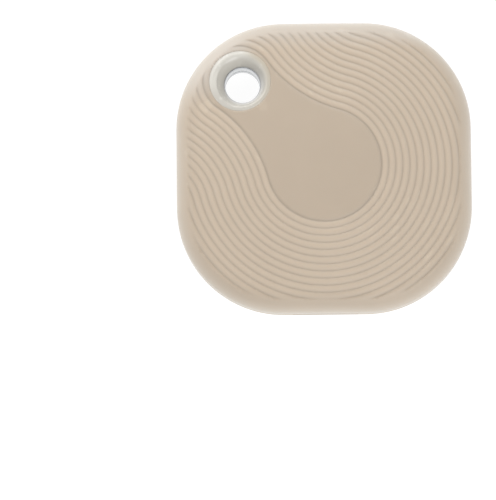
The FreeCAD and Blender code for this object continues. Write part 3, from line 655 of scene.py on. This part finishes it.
# ------------------------------------------------------------------ eyelet collar
BORE_R, BORE_Z = 2.22, 4.36             # where the trumpet starts
BARREL_R, BARREL_Z = 3.07, 4.33         # outside and foot of the barrel
FLANGE_Z = 4.96                         # under side of the flange
SWELL_BEARING, SWELL_SPREAD = 3.49, 44  # local swell in the trumpet: radians, degrees
SWELL_R, SWELL_WIDTH, SWELL_HEIGHT = 3.24, 0.15, 0.30


def collar_section(angle):
    """Trumpet bore, lip, flange and barrel, as (radius, height) from the bore's axis."""
    direction = heading(angle)
    offset = RIM - EYE
    along = float(offset @ direction)
    # The flange's edge as seen from the bore, just inside its full radius
    far = along + math.sqrt(RIM_R ** 2 - float(offset @ offset) + along * along) - 0.004
    seat = float(land_z(np.array([EYE + direction * (far + 0.02)]))[0])
    corner = 0.5 + 0.5 * math.cos(angle - CORNER_BEARING)   # 1 towards the tag's corner
    lip = 0.24 + 0.26 * corner
    crest = far - lip
    top = float(dome_z(np.array([EYE + direction * crest]))[0]) + 0.08 * corner
    turned = angle - SWELL_BEARING
    turned = math.degrees(math.atan2(math.sin(turned), math.cos(turned)))
    swell = SWELL_HEIGHT * math.exp(-(turned / SWELL_SPREAD) ** 2)
    swell *= min(1, max(0, (far - 3.4) / 0.3))

    section = [(BORE_R - 0.01, BARREL_Z)]
    for i in range(1, 25):
        t = i / 24
        r = BORE_R + (crest - BORE_R) * t
        z = BORE_Z + (top - BORE_Z) * (1 - (1 - t) ** (2.4 - 0.6 * corner))
        z += swell * math.exp(-((r - SWELL_R) / SWELL_WIDTH) ** 2)
        section.append((r, min(z, top + 0.02)))
    top = section[-1][1]
    # The lip falls as a quarter round, easing into an S-curve towards the tag's corner.
    for t in (0.25, 0.45, 0.62, 0.77, 0.89, 0.97, 1.0):
        quarter_round = 1 - math.sqrt(max(0.0, 1 - t * t))
        s_curve = 0.5 - 0.5 * math.cos(math.pi * t)
        fall = (1 - corner) * quarter_round + corner * s_curve
        section.append((crest + lip * t, top + (seat + 0.01 - top) * fall))
    return section + [
        (far, seat - 0.06), (far, 5.04), (far - 0.03, 4.98), (far - 0.1, FLANGE_Z),
        (BARREL_R, FLANGE_Z), (BARREL_R, BARREL_Z),
    ]


def colour_collar(ob):
    """Attributes for painted light on the collar: painted shade in the depth and at the foot of
    the bore, painted warm shade on the flange's edge, and a painted highlight on its corner
    side.
    """
    flat = np.empty(len(ob.data.vertices) * 3)
    ob.data.vertices.foreach_get("co", flat)
    plan = flat.reshape(-1, 3)[:, :2] / MM
    from_eye = distance(plan, EYE)
    from_seat = distance(plan, RIM) - SEAT_R
    bearing = bearing_from(plan, EYE)
    # painted highlight on the flange, towards the tag's corner
    lit = ease((from_seat + 1.1) / 0.5)
    lit = lit * ease((np.cos(bearing - CORNER_BEARING) - 0.3) / 0.5)
    # painted warm shade on the flange's edge, strongest towards the +X +Y side
    outer = ease((from_seat + 0.85) / 0.8) * (0.5 + 0.5 * np.cos(bearing - 0.9))
    # how heavy the painted shade in the bore is, by bearing
    shade = 0.55 + 0.45 * (0.5 + 0.5 * np.sin(bearing + 1.3))
    add_attributes(
        ob,
        deep=ease((2.95 - from_eye) / 0.75) * shade,
        outer=outer * (1 - lit),
        # painted shade: a dark ring at the foot of the bore, against the sleeve
        foot=ease((2.36 - from_eye) / 0.14),
        lit=lit,
    )


collar = swept("eyelet_collar_funnel", collar_section, segments=192)
colour_collar(collar)
dress(collar, "collar_gloss")
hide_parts("eyelet_collar")
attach(collar, "housing")

# ------------------------------------------------------------------ eyelet sleeve
sleeve = swept("eyelet_sleeve_drawn", lambda angle: SLEEVE_SECTION, segments=160)
dress(sleeve, "sleeve_steel")
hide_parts("eyelet_sleeve")
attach(sleeve, "housing")

# ------------------------------------------------------------------ switch disc
DISC_TOP_R, DISC_UNDER_R = 3.0, 2.93    # sphere radii of its two faces, about one centre
DISC_RINGS, DISC_STEPS = 12, 72
disc_lo, disc_hi = (np.array(v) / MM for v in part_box("tact_switch_dome"))
disc_centre = (disc_lo[:2] + disc_hi[:2]) / 2


def snap_dome():
    """The switch's sprung disc: a shallow cap of even thickness, closed at its edge."""
    disc_r = (disc_hi[0] - disc_lo[0]) / 2
    verts, faces = [], []
    for sphere_r, edge_share in ((DISC_TOP_R, 1.0), (DISC_UNDER_R, 0.985)):
        def level(r):
            return max(disc_lo[2], disc_hi[2] - DISC_TOP_R + math.sqrt(sphere_r ** 2 - r * r))

        first = len(verts)
        verts.append((*disc_centre, level(0)))
        for i in range(1, DISC_RINGS + 1):
            r = disc_r * i / DISC_RINGS * (edge_share if i == DISC_RINGS else 1.0)
            for j in range(DISC_STEPS):
                x, y = disc_centre + r * heading(2 * math.pi * j / DISC_STEPS)
                verts.append((x, y, level(r)))
        for j in range(DISC_STEPS):
            k = (j + 1) % DISC_STEPS
            faces.append((first, first + 1 + j, first + 1 + k))
            for i in range(DISC_RINGS - 1):
                near = first + 1 + i * DISC_STEPS
                far = near + DISC_STEPS
                faces.append((near + j, far + j, far + k, near + k))
    top_edge = 1 + (DISC_RINGS - 1) * DISC_STEPS
    low_edge = top_edge + 1 + DISC_RINGS * DISC_STEPS
    for j in range(DISC_STEPS):
        k = (j + 1) % DISC_STEPS
        faces.append((top_edge + j, low_edge + j, low_edge + k, top_edge + k))
    return mesh_object("tact_snap_dome", verts, faces)


disc = snap_dome()
dress(disc, "plated_can")
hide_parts("tact_switch_dome")
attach(disc, "housing")
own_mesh(disc)

# Crisp edges on the CAD pieces that stay visible
for ob in frame["nodes"].values():
    if not ob.hide_render:
        ob.data.shade_smooth()
        crease = ob.modifiers.new("crease", "EDGE_SPLIT")
        crease.split_angle = math.radians(28)

# ------------------------------------------------------------------ floor (metres)
FLOOR_HALF, FLOOR_Z = 1.5, -2e-5


def floor_material():
    """A pale light table, which takes almost no shadow and is clear from underneath."""
    mat = bpy.data.materials.new("floor")
    mat.use_nodes = True
    # As a sampled lamp its two triangles would light the tag's back unevenly.
    mat.cycles.emission_sampling = "NONE"
    nodes, link = mat.node_tree.nodes, mat.node_tree.links.new
    bsdf = nodes["Principled BSDF"]
    bsdf.inputs["Base Color"].default_value = (0.15, 0.15, 0.15, 1)
    bsdf.inputs["Emission Color"].default_value = (1, 1, 1, 1)
    bsdf.inputs["Emission Strength"].default_value = 0.93
    bsdf.inputs["Roughness"].default_value = 0.9
    geometry = nodes.new("ShaderNodeNewGeometry")
    clear = nodes.new("ShaderNodeBsdfTransparent")
    pick = nodes.new("ShaderNodeMixShader")
    link(geometry.outputs["Backfacing"], pick.inputs[0])
    link(bsdf.outputs[0], pick.inputs[1])
    link(clear.outputs[0], pick.inputs[2])
    link(pick.outputs[0], nodes["Material Output"].inputs["Surface"])
    return mat


floor_mesh = bpy.data.meshes.new("floor")
floor_corners = [(x * FLOOR_HALF, y * FLOOR_HALF, FLOOR_Z)
                 for x, y in ((-1, -1), (1, -1), (1, 1), (-1, 1))]
floor_mesh.from_pydata(floor_corners, [], [(0, 1, 2, 3)])
floor_mesh.materials.append(floor_material())
floor = bpy.data.objects.new("floor", floor_mesh)
bpy.context.collection.objects.link(floor)


# ------------------------------------------------------------------ world and lights (metres)
def build_world(horizon, overhead):
    """A white tent, with a strength at the horizon and one overhead."""
    world = bpy.data.worlds.new("studio")
    bpy.context.scene.world = world
    world.use_nodes = True
    nodes, link = world.node_tree.nodes, world.node_tree.links.new
    background = nodes["Background"]
    background.inputs[0].default_value = (1, 1, 1, 1)
    coords = nodes.new("ShaderNodeTexCoord")
    split = nodes.new("ShaderNodeSeparateXYZ")
    strength = nodes.new("ShaderNodeMapRange")
    strength.inputs["To Min"].default_value = horizon
    strength.inputs["To Max"].default_value = overhead
    link(coords.outputs["Generated"], split.inputs[0])
    link(split.outputs["Z"], strength.inputs["Value"])
    link(strength.outputs[0], background.inputs["Strength"])


def area_light(name, place, size, watts):
    """A square lamp that faces the origin."""
    lamp = bpy.data.lights.new(name, "AREA")
    lamp.size = size
    lamp.energy = watts
    ob = bpy.data.objects.new(name, lamp)
    ob.location = place
    sight = Vector((0, 0, 0)) - Vector(place)
    ob.rotation_euler = sight.to_track_quat("-Z", "Y").to_euler()
    bpy.context.collection.objects.link(ob)


build_world(horizon=0.95, overhead=0.36)
area_light("key", place=(0.00, 0.42, 0.28), size=0.22, watts=0.60)
area_light("fill", place=(0.12, -0.30, 0.38), size=0.30, watts=0.98)
area_light("rim", place=(-0.34, 0.42, 0.15), size=0.30, watts=1.25)

# ------------------------------------------------------------------ camera
# Nearly overhead, tilted a little towards -Y.
TILT, PAN, ROLL = math.radians(7.78), math.radians(0.70), math.radians(0.57)
CAMERA_DISTANCE = 600.0
AIM = (-9.29747, -9.641366)     # middle of the view from the origin, across and up the view
LENS, SENSOR = 351.7344, 36


def turn(angle, a, b):
    """Rotation that carries axis a towards axis b."""
    matrix = np.eye(3)
    matrix[a, a] = matrix[b, b] = math.cos(angle)
    matrix[b, a] = math.sin(angle)
    matrix[a, b] = -math.sin(angle)
    return matrix


def build_camera():
    view = turn(ROLL, 0, 1) @ turn(PAN, 2, 0) @ turn(TILT, 2, 1)     # world to view axes
    sight = np.array([*AIM, -CAMERA_DISTANCE])
    back = -(view.T @ (sight / np.linalg.norm(sight)))
    right = view[0] - back * (view[0] @ back)
    right /= np.linalg.norm(right)
    up = np.cross(back, right)
    place = view.T @ np.array([0, 0, CAMERA_DISTANCE]) * MM
    pose = np.eye(4)
    pose[:3] = np.column_stack([right, up, back, place])

    data = bpy.data.cameras.new("camera")
    data.sensor_width = SENSOR
    data.lens = LENS
    data.clip_start = 0.01
    data.clip_end = 10
    camera = bpy.data.objects.new("camera", data)
    bpy.context.collection.objects.link(camera)
    camera.matrix_world = Matrix(pose.tolist())
    bpy.context.scene.camera = camera


build_camera()
bpy.context.scene.view_settings.view_transform = "Standard"
